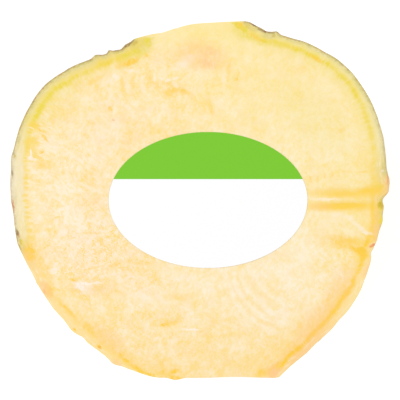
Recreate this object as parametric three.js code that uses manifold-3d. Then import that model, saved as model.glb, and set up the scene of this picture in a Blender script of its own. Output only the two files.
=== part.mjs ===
// Half of a rutabaga (swede) with an oval sticker on its cut face.
//
// The root is cut lengthways, its crown and root end are trimmed off, and it lies on its round
// back with the cut face up and level. Millimetres, +Z up. The origin is on the surface it
// rests on, under the middle of the half. +Y points to the crown, where the leaves grew, and
// -Y to the root end.
//
// The root is grown first, as one whole body, and then five strokes of the knife shape it.
// A direction from its middle is given by two angles in degrees: fromCrown is 0 at the crown
// and 180 at the root end, and around is 0 at the right side, 90 at the back and 180 at the
// left side, as someone sees them who looks down on the cut face with the crown at the top.

import * as THREE from 'three';
import { mergeVertices } from 'three/addons/utils/BufferGeometryUtils.js';
import Module from 'manifold-3d';

// ---- Driving dimensions, in millimetres and degrees ----

// Height of the cut face, and of the root's middle, above the surface.
const CUT_HEIGHT = 60;

// Distance from the root's middle to its skin, every 15 degrees from the crown to the root end.
const RADIUS_STEP = 15;
const RIGHT_RADII = [67.5, 64.3, 64.8, 69.2, 69.4, 67.4, 65, 63.8, 64.7, 64.9, 66.2, 71, 66.5];
const LEFT_RADII = [67.5, 64.4, 60.4, 65, 68, 67.4, 66.1, 65, 63.9, 63.8, 63.6, 64.5, 66.5];
const BACK_RADII = [67.5, 64.5, 63.5, 64, 63, 61.8, 61.2, 61.3, 62, 62.8, 64.2, 68, 66.5];

// Low ridges around the crown, one over each ring of scars that the fallen leaves left. The
// rings lean: they lie nearer to the crown on the right and further from it on the left.
const LEAF_SCARS = { fromCrown: [28, 35.5], lean: 3.5, height: 0.6, halfWidth: 2 };

// The stump of a side root, cut through by the halving stroke.
const SIDE_ROOT = { fromCrown: 85, around: 0, height: 1.4, halfWidth: 4 };

// Knife strokes that trim the ends: a point on each flat face, and how far the face leans
// about Z from square to the root.
const CROWN_STROKE_RIGHT = { x: 15.4, y: 62.5, lean: 3.4 };
const CROWN_STROKE_LEFT = { x: -21.6, y: 56.5, lean: 14.8 };
const ROOT_END_STROKE = { x: 0, y: -62.3, lean: 180 };

// The sticker: an oval as wide and as high as this, a little right of the middle.
const LABEL = { x: 3, y: 0, width: 69.6, height: 47.6, thickness: 0.3 };

// Fineness of the faceted root.
const ROWS = 72;
const MERIDIANS = 72;
const LABEL_CURVE_SEGMENTS = 72;

// Edge of the block that stands for the waste side of a knife stroke.
const WASTE_BLOCK = 200;

// ---- The grown root ----

const { degToRad } = THREE.MathUtils;

// A smooth curve through radii that lie RADIUS_STEP apart.
function radiusAlong(radii, fromCrown) {
  const last = radii.length - 1;
  const place = fromCrown / RADIUS_STEP;
  const index = Math.min(Math.floor(place), last - 1);
  const t = place - index;
  const before = radii[Math.max(index - 1, 0)];
  const start = radii[index];
  const end = radii[index + 1];
  const after = radii[Math.min(index + 2, last)];
  const slopeAtStart = (end - before) / 2;
  const slopeAtEnd = (after - start) / 2;
  const cubic = 2 * (start - end) + slopeAtStart + slopeAtEnd;
  const square = 3 * (end - start) - 2 * slopeAtStart - slopeAtEnd;
  return ((cubic * t + square) * t + slopeAtStart) * t + start;
}

// A smooth swelling, 1 in its middle and almost 0 two half widths away.
function swelling(distance, halfWidth) {
  return Math.exp(-((distance / halfWidth) ** 2));
}

// Distance from the root's middle to its skin in one direction.
function skinRadius(fromCrown, around) {
  const sideways = Math.cos(degToRad(around));
  const side = radiusAlong(sideways > 0 ? RIGHT_RADII : LEFT_RADII, fromCrown);
  const back = radiusAlong(BACK_RADII, fromCrown);
  let radius = back + (side - back) * sideways ** 2;
  for (const ring of LEAF_SCARS.fromCrown) {
    const fromRidge = fromCrown - ring + LEAF_SCARS.lean * sideways;
    radius += LEAF_SCARS.height * swelling(fromRidge, LEAF_SCARS.halfWidth);
  }
  const fromStump = Math.hypot(fromCrown - SIDE_ROOT.fromCrown, around - SIDE_ROOT.around);
  return radius + SIDE_ROOT.height * swelling(fromStump, SIDE_ROOT.halfWidth);
}

function skinPoint(fromCrown, around) {
  const radius = skinRadius(fromCrown, around);
  const out = radius * Math.sin(degToRad(fromCrown));
  return [
    out * Math.cos(degToRad(around)),
    radius * Math.cos(degToRad(fromCrown)),
    CUT_HEIGHT - out * Math.sin(degToRad(around)),
  ];
}

// The whole root before any cut, as one closed surface between the crown and the root end.
function wholeRootGeometry() {
  const positions = [...skinPoint(0, 0)];
  const faces = [];
  const vertex = (row, meridian) => 1 + (row - 1) * MERIDIANS + (meridian % MERIDIANS);
  const crownTip = 0;
  const rootTip = 1 + (ROWS - 1) * MERIDIANS;
  for (let row = 1; row < ROWS; row++) {
    for (let meridian = 0; meridian < MERIDIANS; meridian++) {
      const turn = (360 * meridian) / MERIDIANS;
      const around = turn > 180 ? turn - 360 : turn;
      positions.push(...skinPoint((180 * row) / ROWS, around));
    }
  }
  positions.push(...skinPoint(180, 0));
  for (let meridian = 0; meridian < MERIDIANS; meridian++) {
    const next = meridian + 1;
    faces.push(crownTip, vertex(1, meridian), vertex(1, next));
    for (let row = 1; row < ROWS - 1; row++) {
      faces.push(vertex(row, meridian), vertex(row + 1, meridian), vertex(row + 1, next));
      faces.push(vertex(row, meridian), vertex(row + 1, next), vertex(row, next));
    }
    faces.push(vertex(ROWS - 1, meridian), rootTip, vertex(ROWS - 1, next));
  }
  const geometry = new THREE.BufferGeometry();
  geometry.setAttribute('position', new THREE.Float32BufferAttribute(positions, 3));
  geometry.setIndex(faces);
  return geometry;
}

// ---- The knife ----

const wasm = await Module();
wasm.setup();

function toSolid(geometry) {
  const shape = geometry.clone();
  shape.deleteAttribute('normal');
  shape.deleteAttribute('uv');
  const merged = mergeVertices(shape);
  return new wasm.Manifold(
    new wasm.Mesh({
      numProp: 3,
      vertProperties: merged.attributes.position.array,
      triVerts: new Uint32Array(merged.index.array),
    }),
  );
}

function toGeometry(solid) {
  const { vertProperties, triVerts } = solid.getMesh();
  const geometry = new THREE.BufferGeometry();
  geometry.setAttribute('position', new THREE.BufferAttribute(vertProperties, 3));
  geometry.setIndex(new THREE.BufferAttribute(triVerts, 1));
  geometry.computeVertexNormals();
  return geometry;
}

// What a stroke across the root takes off: everything beyond a flat face that looks along +Y,
// turned by its lean.
function trimmedOff({ x, y, lean }) {
  const block = new THREE.BoxGeometry(WASTE_BLOCK, WASTE_BLOCK, WASTE_BLOCK);
  block.translate(0, WASTE_BLOCK / 2, 0);
  block.rotateZ(degToRad(lean));
  block.translate(x, y, CUT_HEIGHT);
  return toSolid(block);
}

// What a level stroke takes off, above or below one height.
function levelCut(height, side) {
  const block = new THREE.BoxGeometry(WASTE_BLOCK, WASTE_BLOCK, WASTE_BLOCK);
  block.translate(0, 0, height + (side * WASTE_BLOCK) / 2);
  return toSolid(block);
}

function swedeHalfGeometry() {
  const strokes = [
    levelCut(CUT_HEIGHT, 1),
    trimmedOff(CROWN_STROKE_RIGHT),
    trimmedOff(CROWN_STROKE_LEFT),
    trimmedOff(ROOT_END_STROKE),
    levelCut(0, -1),
  ];
  let root = toSolid(wholeRootGeometry());
  for (const waste of strokes) {
    root = root.subtract(waste);
  }
  return toGeometry(root);
}

// ---- The sticker ----

function labelGeometry() {
  const oval = new THREE.Shape();
  oval.absellipse(LABEL.x, LABEL.y, LABEL.width / 2, LABEL.height / 2, 0, 2 * Math.PI);
  const geometry = new THREE.ExtrudeGeometry(oval, {
    depth: LABEL.thickness,
    bevelEnabled: false,
    curveSegments: LABEL_CURVE_SEGMENTS,
  });
  geometry.translate(0, 0, CUT_HEIGHT);
  return geometry;
}

// ---- Materials and assembly ----

const flesh = new THREE.MeshStandardMaterial({ color: 0xfee9b7, roughness: 0.55, metalness: 0 });
const paper = new THREE.MeshStandardMaterial({ color: 0xffffff, roughness: 0.4, metalness: 0 });

const swedeHalf = new THREE.Mesh(swedeHalfGeometry(), flesh);
swedeHalf.name = 'swede_half';

const label = new THREE.Mesh(labelGeometry(), paper);
label.name = 'label';

const rutabagaHalf = new THREE.Group();
rutabagaHalf.add(swedeHalf, label);

export default rutabagaHalf;
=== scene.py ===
"""Half of a rutabaga (swede) with a blank oval sticker on its cut face, lying on its round back."""
import math

import bpy
import numpy as np
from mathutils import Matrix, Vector


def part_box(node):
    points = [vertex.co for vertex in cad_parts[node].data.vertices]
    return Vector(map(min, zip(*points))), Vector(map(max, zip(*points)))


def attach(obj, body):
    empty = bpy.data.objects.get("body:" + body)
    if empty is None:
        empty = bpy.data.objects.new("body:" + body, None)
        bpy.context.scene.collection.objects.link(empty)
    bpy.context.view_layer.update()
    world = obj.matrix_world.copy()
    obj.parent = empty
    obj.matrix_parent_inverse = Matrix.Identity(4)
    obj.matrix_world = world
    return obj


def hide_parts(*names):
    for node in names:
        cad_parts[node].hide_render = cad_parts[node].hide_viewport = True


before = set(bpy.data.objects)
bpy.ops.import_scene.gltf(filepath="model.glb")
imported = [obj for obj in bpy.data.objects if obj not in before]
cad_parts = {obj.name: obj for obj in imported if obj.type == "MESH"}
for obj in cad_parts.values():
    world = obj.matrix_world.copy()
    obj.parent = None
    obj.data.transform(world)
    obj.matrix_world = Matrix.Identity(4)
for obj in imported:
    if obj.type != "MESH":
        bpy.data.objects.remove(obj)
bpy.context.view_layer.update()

# Lengths below are in millimetres, as in the CAD part, and angles in degrees. +Y is the crown,
# -Y the root end, +X the right of someone who looks down on the cut face. A direction from the
# root's middle is given by from_crown (0 crown, 180 root end) and around (0 right, 90 back,
# 180 left).
MM = 0.001

CUT_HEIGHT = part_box("swede_half")[1].z / MM

# ---------------------------------------------------------------- the shape of the grown root

# Distance from the root's middle to its skin, every 15 degrees from crown to root end.
RADIUS_STEP = 15
RIGHT_RADII = [67.5, 64.3, 64.8, 69.2, 69.4, 67.4, 65, 63.8, 64.7, 64.9, 66.2, 71, 66.5]
LEFT_RADII = [67.5, 64.4, 60.4, 65, 68, 67.4, 66.1, 65, 63.9, 63.8, 63.6, 64.5, 66.5]
BACK_RADII = [67.5, 64.5, 63.5, 64, 63, 61.8, 61.2, 61.3, 62, 62.8, 64.2, 68, 66.5]

# Knife strokes over the ends: a point on each flat face, and its lean about Z from square.
CROWN_STROKES = [(15.4, 62.5, 3.4), (-21.6, 56.5, 14.8)]
ROOT_END_STROKE = (0, -62.3, 180)
CREASE_ROUNDING = 0.3
REST_ROUNDING = 0.7
# The least downward share of a direction, so that a level one reaches the rest very far away.
LEAST_DOWNWARD = 1e-3
# The flesh of the trimmed crown stands a little proud of the knife's planes.
CROWN_SWELL = 0.3
# Unevenness of the trimmed ends: from_crown, around, height, half width along and around.
END_LUMPS = [
    (172.4, 180, 0.8, 2.1, 30), (165, 180, 0.3, 2, 30), (168.5, 0, -0.35, 6.5, 150),
    (12.5, 180, -0.4, 2.4, 150), (8, 180, -0.2, 3.5, 150),
]

# Leaf scars: from_crown, around, half of its turn round the root, and how far its lip stands out.
LEAF_SCARS = [
    (21.5, 27, 14, 0.7), (24, 58, 18, 0.85), (22, 96, 21, 0.75), (25.5, 134, 15, 0.8), (26.5, 164, 12, 0.5),
    (29, 10, 12, 0.5), (32, 41, 17, 0.8), (29.5, 76, 16, 0.95), (33, 114, 20, 0.7), (31.5, 150, 13, 0.75),
    (39.5, 24, 14, 0.45), (38, 61, 13, 0.5), (41.5, 93, 17, 0.4), (39, 137, 16, 0.35), (48, 73, 10, 0.18),
]
# A scar's middle lies this many degrees lower than its sides, and the rings of scars lean: they
# lie nearer to the crown on the right.
SCAR_SAG = 2.6
RING_LEAN = 3.5
# Degrees from a scar's line: the half width of its lip above and below the line, and the place
# and half width of the groove below it. The groove's depth is a share of the lip's height.
LIP_ABOVE, LIP_BELOW = 2.1, 0.75
GROOVE_PLACE, GROOVE_WIDTH, GROOVE_SHARE = 1.7, 0.9, 0.35
# Radius of the ball that the skin's noise is laid on, and the radius that turns angles into
# lengths for the side root scars.
NOISE_BALL = 65
SCAR_BALL = 64

# Lumps and dents on the skin: from_crown, around, height, half width along and around. Those at
# 0 and 180 give the cut face its outline.
LUMPS = [
    (15.5, 0, 0.55, 2.2, 20), (21.7, 0, -0.55, 1.3, 14), (24.7, 0, 0.65, 0.9, 12), (33.5, 0, 0.9, 4.6, 16),
    (48, 0, -0.1, 4, 14), (26, 0, 0.25, 4, 14), (95, 0, -0.2, 60, 40), (71, 0, 0.2, 1.5, 8),
    (84.9, 0, 1.1, 3.2, 7), (87.6, 0, 0.45, 1.1, 7), (90, 0, -0.8, 1.4, 9), (97, 0, 0.35, 1.6, 8),
    (104.8, 0, -0.3, 1.2, 6), (107, 0, -0.75, 1.4, 6), (140, 0, -0.3, 4, 12), (123, 0, 0.3, 6, 20),
    (139, 0, -0.15, 5, 12), (23.4, 180, -1.05, 2.2, 22), (27.7, 180, -1, 1.9, 16), (31.2, 180, 0.8, 0.8, 12),
    (35.6, 180, 0.95, 1.5, 14), (54, 180, 0.45, 4, 20), (64.5, 180, -0.2, 3.5, 12), (77, 180, 0.35, 2.2, 12),
    (94.5, 180, -0.35, 3, 12), (104, 180, 0.35, 3.2, 14), (113.5, 180, -0.2, 2, 10), (135, 180, 0.3, 2, 10),
    (139.8, 180, -0.5, 1.8, 10), (152.7, 180, 1.05, 2.3, 9), (156.6, 180, 0.35, 1.8, 9),
    (132, 180, -0.4, 4, 14), (151, 180, 0.15, 3, 14), (166, 180, -0.6, 2.4, 12), (168, 160, 0.8, 4, 14),
    (158, 0, 0.3, 1.4, 9), (62, 70, 1.2, 22, 26), (118, 115, 1, 20, 24), (80, 140, -0.9, 18, 16),
    (140, 60, -0.9, 16, 18), (100, 40, 0.7, 14, 16),
]

# Scars of side roots in their two rows, left and right of the back: from_crown, around, size.
SIDE_ROOT_SCARS = [
    (78, 14, 2.4), (88, 8, 2.8), (96, 20, 1.8), (105, 9, 2.6), (114, 24, 1.6), (122, 12, 2.4), (131, 19, 2),
    (139, 8, 2.2), (147, 26, 1.6), (153, 14, 1.8), (98, 171, 2.4), (108, 163, 1.8), (117, 173, 2.2),
    (126, 160, 2), (134, 170, 2.4), (143, 158, 1.8), (150, 171, 2.6), (158, 150, 1.7), (128, 95, 1.2),
    (150, 80, 1.4), (141, 118, 1.2),
]
# A side root scar is this much wider than it is high. Its rim lies at this share of its size from
# its middle, and its pit and its rim are this many times narrower than its size.
SCAR_WIDENING = 1.5
SCAR_RIM_PLACE = 0.95
SCAR_PIT_NARROWING, SCAR_RIM_NARROWING = 1.8, 2.4


def radius_along(radii, from_crown):
    """A smooth curve through radii that lie RADIUS_STEP apart."""
    radii = np.asarray(radii, float)
    last = len(radii) - 1
    place = np.clip(from_crown / RADIUS_STEP, 0, last)
    index = np.minimum(place.astype(int), last - 1)
    t = place - index
    before, start = radii[np.maximum(index - 1, 0)], radii[index]
    end, after = radii[index + 1], radii[np.minimum(index + 2, last)]
    slope_in, slope_out = (end - before) / 2, (after - start) / 2
    cubic = 2 * (start - end) + slope_in + slope_out
    square = 3 * (end - start) - 2 * slope_in - slope_out
    return ((cubic * t + square) * t + slope_in) * t + start


def direction(from_crown, around):
    """Unit vectors from the root's middle."""
    tilt, turn = np.radians(from_crown), np.radians(around)
    return np.stack([
        np.sin(tilt) * np.cos(turn), np.cos(tilt) + 0 * turn, -np.sin(tilt) * np.sin(turn),
    ], -1)


def smooth_step(low, high, value):
    t = np.clip((value - low) / (high - low), 0, 1)
    return t * t * (3 - 2 * t)


# The noise takes its values from a table of this length, by a key made of each cell's place. The
# shift keeps every cell's place above 0.
NOISE_VALUES = 8192
NOISE_SHIFT = 1000
CELL_KEYS = np.array([73856093, 19349663, 83492791])


def noise(points, size, seed):
    """Smooth noise from -1 to 1 whose bumps are about size across."""
    table = np.random.default_rng(seed).uniform(-1, 1, NOISE_VALUES)
    place = np.asarray(points, float) / size + NOISE_SHIFT
    cell = np.floor(place).astype(np.int64)
    t = place - cell
    t = t * t * (3 - 2 * t)
    total = 0
    for corner in range(8):
        step = np.array([corner & 1, corner >> 1 & 1, corner >> 2 & 1])
        key = (cell + step) * CELL_KEYS
        value = table[(key[..., 0] ^ key[..., 1] ^ key[..., 2]) % NOISE_VALUES]
        total = total + value * np.prod(np.where(step, t, 1 - t), -1)
    return total


def fractal(points, size, seed, octaves=4):
    """Noise with finer noise on it, each octave half as large and half as high."""
    return sum(noise(points, size / 2**k, seed + k) / 2**k for k in range(octaves))


def swelling(distance):
    """A smooth swelling at a distance in half widths: 1 in its middle and almost 0 at 2."""
    return np.exp(-distance**2)


def lumps(table, from_crown, around):
    """Height of a table's lumps and dents."""
    total = 0
    for place, turn, height, along, across in table:
        total = total + height * swelling(np.hypot((from_crown - place) / along, (around - turn) / across))
    return total


def leaf_scar_shapes(from_crown, around):
    """Height of the leaf scars' lips and grooves, and a mask of the scars' own faces."""
    points = direction(from_crown, around) * NOISE_BALL
    wobble = 0.5 * noise(points, 5, 3) + 0.25 * noise(points, 2.2, 4)
    height, scar_face = 0 * from_crown, 0 * from_crown
    for place, turn, half_turn, rise in LEAF_SCARS:
        along = (around - turn) / half_turn
        inside = np.clip(1 - along**2, 0, 1) ** 0.6
        line = place - RING_LEAN * math.cos(math.radians(turn)) + SCAR_SAG * (0.4 - along**2)
        gap = from_crown - line + wobble
        lip = swelling(np.where(gap < 0, gap / LIP_ABOVE, gap / LIP_BELOW))
        groove = swelling((gap - GROOVE_PLACE) / GROOVE_WIDTH)
        height = np.maximum(height, rise * inside * lip) - GROOVE_SHARE * rise * inside * groove
        above_lip = smooth_step(-4.6, -3.2, gap) * smooth_step(0.3, -0.5, gap)
        scar_face = np.maximum(scar_face, inside * above_lip)
    return height, scar_face


def scar_shapes(from_crown, around):
    """Pits and rims of the side root scars, as two masks."""
    pit, rim = 0 * from_crown, 0 * from_crown
    for place, turn, size in SIDE_ROOT_SCARS:
        down = np.radians(from_crown - place) * SCAR_BALL
        across = np.radians(around - turn) * SCAR_BALL * np.sin(math.radians(place))
        gap = np.sqrt((down * SCAR_WIDENING) ** 2 + across**2) / size
        pit = np.maximum(pit, swelling(gap * SCAR_PIT_NARROWING))
        rim = np.maximum(rim, swelling((gap - SCAR_RIM_PLACE) * SCAR_RIM_NARROWING))
    return pit, rim


# Heights of the skin's relief: the side root scars, broad bumps on the back, and the grain and
# the cross wrinkles, each along the cut and how much more on the back.
SCAR_RIM, SCAR_PIT = 0.55, 0.8
BACK_BUMPS = 0.9
GRAIN, BACK_GRAIN = 0.12, 0.16
WRINKLES, BACK_WRINKLES = 0.05, 0.11
# Degrees round from the cut over which the leaf scars, and the back's roughness, grow to full.
LEAF_SCAR_FADE, BACK_FADE = 7, 22


def skin_radius(from_crown, around):
    """Distance from the middle to the skin, with every lump, ridge, scar and wrinkle."""
    sideways = np.cos(np.radians(around))
    side = np.where(sideways > 0, radius_along(RIGHT_RADII, from_crown), radius_along(LEFT_RADII, from_crown))
    back = radius_along(BACK_RADII, from_crown)
    radius = back + (side - back) * sideways**2
    radius = radius + lumps(LUMPS, from_crown, around)
    from_cut = np.minimum(around, 180 - around)
    leaf_scars, _ = leaf_scar_shapes(from_crown, around)
    radius = radius + smooth_step(0, LEAF_SCAR_FADE, from_cut) * leaf_scars
    pit, rim = scar_shapes(from_crown, around)
    radius = radius + SCAR_RIM * rim - SCAR_PIT * pit

    # The skin is rougher on the hidden back than along the cut, where the photo shows it smooth.
    hidden = smooth_step(0, BACK_FADE, from_cut)
    points = direction(from_crown, around) * NOISE_BALL
    radius = radius + hidden * BACK_BUMPS * noise(points, 26, 11)
    radius = radius + (GRAIN + BACK_GRAIN * hidden) * fractal(points, 7, 21)
    wrinkle_points = np.stack([from_crown * 1.1, around * 0.16, 0 * around], -1)
    return radius + (WRINKLES + BACK_WRINKLES * hidden) * fractal(wrinkle_points, 3.2, 31, 3)


# A direction that faces a knife stroke by less than GRAZING never meets it, so that the stroke is
# NEVER_MET away.
GRAZING = 0.05
NEVER_MET = 1000


def stroke_radius(ways, x, y, lean):
    """Distance from the middle to a flat face cut across the root."""
    normal = np.array([-math.sin(math.radians(lean)), math.cos(math.radians(lean)), 0])
    reach = normal @ np.array([x, y, 0])
    facing = ways @ normal
    return np.where(facing > GRAZING, reach / np.maximum(facing, GRAZING), NEVER_MET)


def soft_min(first, second, rounding):
    """The smaller of two radii, with the crease between them rounded."""
    low = np.minimum(first, second)
    return low - rounding * np.log(np.exp((low - first) / rounding) + np.exp((low - second) / rounding))


def trimmed_radius(from_crown, around):
    """Distance to the trimmed ends: the nearer of the crown's two strokes, or the root end's."""
    ways = direction(from_crown, around)
    first, second = (stroke_radius(ways, *stroke) for stroke in CROWN_STROKES)
    crown = soft_min(first, second, CREASE_ROUNDING) + CROWN_SWELL
    return np.minimum(crown, stroke_radius(ways, *ROOT_END_STROKE)) + lumps(END_LUMPS, from_crown, around)


# How often crease_angle halves the stretch that it searches.
HALVINGS = 26


def crease_angle(around, low, high):
    """Where the skin meets a trimmed end, as from_crown for each value of around.

    It lies between low, where the knife cut the skin away, and high, where the skin is whole.
    """
    inner, outer = 0 * around + low, 0 * around + high
    for _ in range(HALVINGS):
        middle = (inner + outer) / 2
        cut_away = skin_radius(middle, around) > trimmed_radius(middle, around)
        inner = np.where(cut_away, middle, inner)
        outer = np.where(cut_away, outer, middle)
    return (inner + outer) / 2


# ---------------------------------------------------------------- the root's mesh

# Rows of points run round the root from side to side, and columns from the crown to the root end.
CROWN_ROWS, SKIN_ROWS, ROOT_END_ROWS, COLUMNS = 22, 276, 20, 120
FACE_RINGS = 78
EDGE_CHAMFER = 0.16

# The oval sticker: its centre, half its width and height, and the share of the cut face's relief
# that is left where the sticker is pressed on.
LABEL_CENTRE = (3, 0)
LABEL_HALF = (34.8, 23.8)
PRESSED_RELIEF = 0.25


def clustered(count):
    """From 0 to 1 in count steps that are a little finer at both ends."""
    even = np.linspace(0, 1, count + 1)
    eased = 0.5 - 0.5 * np.cos(np.pi * even)
    return 0.75 * even + 0.25 * eased


around_columns = 180 * clustered(COLUMNS)
crown_crease = crease_angle(around_columns, 3, 34)
root_crease = crease_angle(around_columns, 179, 145)
from_crown_grid = np.concatenate([
    crown_crease[None] * clustered(CROWN_ROWS)[:-1, None],
    crown_crease + (root_crease - crown_crease) * clustered(SKIN_ROWS)[:, None],
    root_crease + (180 - root_crease) * clustered(ROOT_END_ROWS)[1:, None],
])
around_grid = np.broadcast_to(around_columns, from_crown_grid.shape)
ROW_COUNT = len(from_crown_grid)
FIRST_SKIN_ROW, LAST_SKIN_ROW = CROWN_ROWS, CROWN_ROWS + SKIN_ROWS

ways = direction(from_crown_grid, around_grid)
radius_grid = soft_min(
    skin_radius(from_crown_grid, around_grid), trimmed_radius(from_crown_grid, around_grid), CREASE_ROUNDING)
# The flat spot on its back: the steeper a direction goes down, the sooner it reaches z = 0.
downward = np.maximum(-ways[..., 2], LEAST_DOWNWARD)
radius_grid = soft_min(radius_grid, CUT_HEIGHT / downward, REST_ROUNDING)
skin_points = ways * radius_grid[..., None]
skin_points[..., 2] += CUT_HEIGHT

# The first and last column are the cut edge: they stay on the outline, a chamfer below the face.
skin_points[..., 2] -= EDGE_CHAMFER * np.exp(skin_points[..., 2] - CUT_HEIGHT)

# The outline of the cut face, once round: down the right side and back up the left.
outline = np.concatenate([skin_points[:-1, 0, :2], skin_points[:0:-1, COLUMNS, :2]])
outline_reach = np.linalg.norm(outline, axis=1)
BOUNDARY = len(outline)

# Rings of points on the cut face: a few wide ones round its middle and many fine ones, at shares
# of the way out, and the last ones at fixed distances from the outline.
middle_shares = [0.1, 0.2, 0.28]
fine_shares = np.linspace(0.34, 1, FACE_RINGS - len(middle_shares), endpoint=False)
inner_shares = np.concatenate([middle_shares, fine_shares])
rim_steps = np.array([EDGE_CHAMFER, EDGE_CHAMFER + 0.3, 1.1])
ring_reach = np.concatenate([
    np.outer(inner_shares, outline_reach - rim_steps[-1]),
    outline_reach - rim_steps[::-1, None],
])
face_xy = outline / outline_reach[:, None] * ring_reach[..., None]

# The part of the outline that is skin, from the crown down the right side and up the left.
skin_edge = np.concatenate([
    skin_points[FIRST_SKIN_ROW:LAST_SKIN_ROW + 1, 0],
    skin_points[LAST_SKIN_ROW:FIRST_SKIN_ROW - 1:-1, COLUMNS],
])[:, :2]


# How many points nearest takes at a time, so that its table of distances stays small.
POINTS_AT_ONCE = 2000


def nearest(points, line):
    """Distance to the nearest of a line's points, and which one it is."""
    points = points.reshape(-1, points.shape[-1])
    gaps, indices = [], []
    for part in np.array_split(points, max(1, len(points) // POINTS_AT_ONCE)):
        every = np.linalg.norm(part[:, None] - line[None], axis=-1)
        indices.append(every.argmin(1))
        gaps.append(every.min(1))
    return np.concatenate(gaps), np.concatenate(indices)


def flat_places(xy):
    """Points of the cut face's plane with a height of 0, for noise."""
    return np.concatenate([xy, np.zeros((*xy.shape[:-1], 1))], -1)


def marked(xy, marks, seed, ragged=0.25):
    """How strongly marks show at each point: x, y, half length, half width, turn, strength."""
    flat = flat_places(xy)
    unevenness = 1 + ragged * noise(flat, 1.6, seed) + ragged * noise(flat, 4, seed + 1)
    total = 0
    for x, y, length, width, turn, strength in marks:
        cosine, sine = math.cos(math.radians(turn)), math.sin(math.radians(turn))
        turned = np.array([[cosine / length, -sine / width], [sine / length, cosine / width]])
        gap = (xy - [x, y]) @ turned
        total = total + strength * swelling(np.linalg.norm(gap, axis=-1) * unevenness)
    return total


# Arcs that the knife's ripples and the growth left at the lower right: centre, spacing, and
# the patch where they show.
RIPPLE_CENTRE, RIPPLE_SPACING = (38, -18), 3.3
RIPPLE_PATCH = [(20, -37, 13, 9, -50, 1)]

# Torn flakes and ridges that stand up, and grooves that sink, by up to a few tenths.
RAISED_MARKS = [
    (-59.1, 15.4, 1, 1.6, 0, 0.25), (-40, -29.9, 5, 1.1, -3, 0.25), (-2.8, -45.4, 3.2, 0.6, 0, 0.2),
    (56.3, -9.6, 4.8, 0.9, -42, 0.2), (50, 0.3, 12, 0.8, 2, 0.2), (-9.6, 42.4, 3.8, 1.1, 15, 0.15),
    (-27.5, 47.5, 6, 1.6, 24, 0.15), (-35.2, -8, 1.7, 1, 60, 0.15),
]
SUNKEN_MARKS = [
    (51, 2.6, 14, 1.4, 4, 0.22), (52, -1.9, 14, 1, 1, 0.2), (-10.2, -43.2, 4.4, 1, 13, 0.25),
    (56.7, -18.4, 2.6, 1.4, -30, 0.25), (-59.8, -18.6, 3, 1.8, -62, 0.25), (63.6, -3.4, 2.4, 1, 88, 0.3),
    (-7.5, 38.1, 3, 1, -10, 0.2), (-30.8, 32, 1.1, 1, 0, 0.2), (14, 59.5, 4, 1.4, -42, 0.2),
]


def ripples(xy):
    """Waves from -1 to 1 along the arcs, where they show."""
    reach = np.linalg.norm(xy - RIPPLE_CENTRE, axis=-1) / RIPPLE_SPACING
    wander = 0.35 * noise(flat_places(xy), 8, 43) + 0.1 * noise(flat_places(xy), 2.5, 44)
    return marked(xy, RIPPLE_PATCH, 45) * np.sin((reach + wander) * math.tau)


# Heights of the cut face's dishing, unevenness and ripples.
DISHING, UNEVENNESS, RIPPLE_HEIGHT = 0.08, 0.04, 0.045


def face_relief(xy):
    """Height of the cut face over its plane: shallow dishing, knife ripples and torn flesh."""
    flat = flat_places(xy)
    height = DISHING * noise(flat, 24, 41) + UNEVENNESS * fractal(flat * [1, 1.8, 1], 3.4, 42, 3)
    height = height + RIPPLE_HEIGHT * ripples(xy)
    return height + marked(xy, RAISED_MARKS, 46, 0.4) - marked(xy, SUNKEN_MARKS, 48)


# Distance of each point of the cut face to the skin's cut edge, and the nearest point on it.
face_rim, face_near = (part.reshape(face_xy.shape[:-1]) for part in nearest(face_xy, skin_edge))
from_label = np.linalg.norm((face_xy - LABEL_CENTRE) / LABEL_HALF, axis=-1)
free_relief = PRESSED_RELIEF + (1 - PRESSED_RELIEF) * smooth_step(0.95, 1.12, from_label)
face_height = CUT_HEIGHT + face_relief(face_xy) * free_relief * smooth_step(0.2, 2, face_rim)
face_points = np.concatenate([face_xy, face_height[..., None]], -1)

# ---------------------------------------------------------------- marks on the cut flesh

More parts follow.
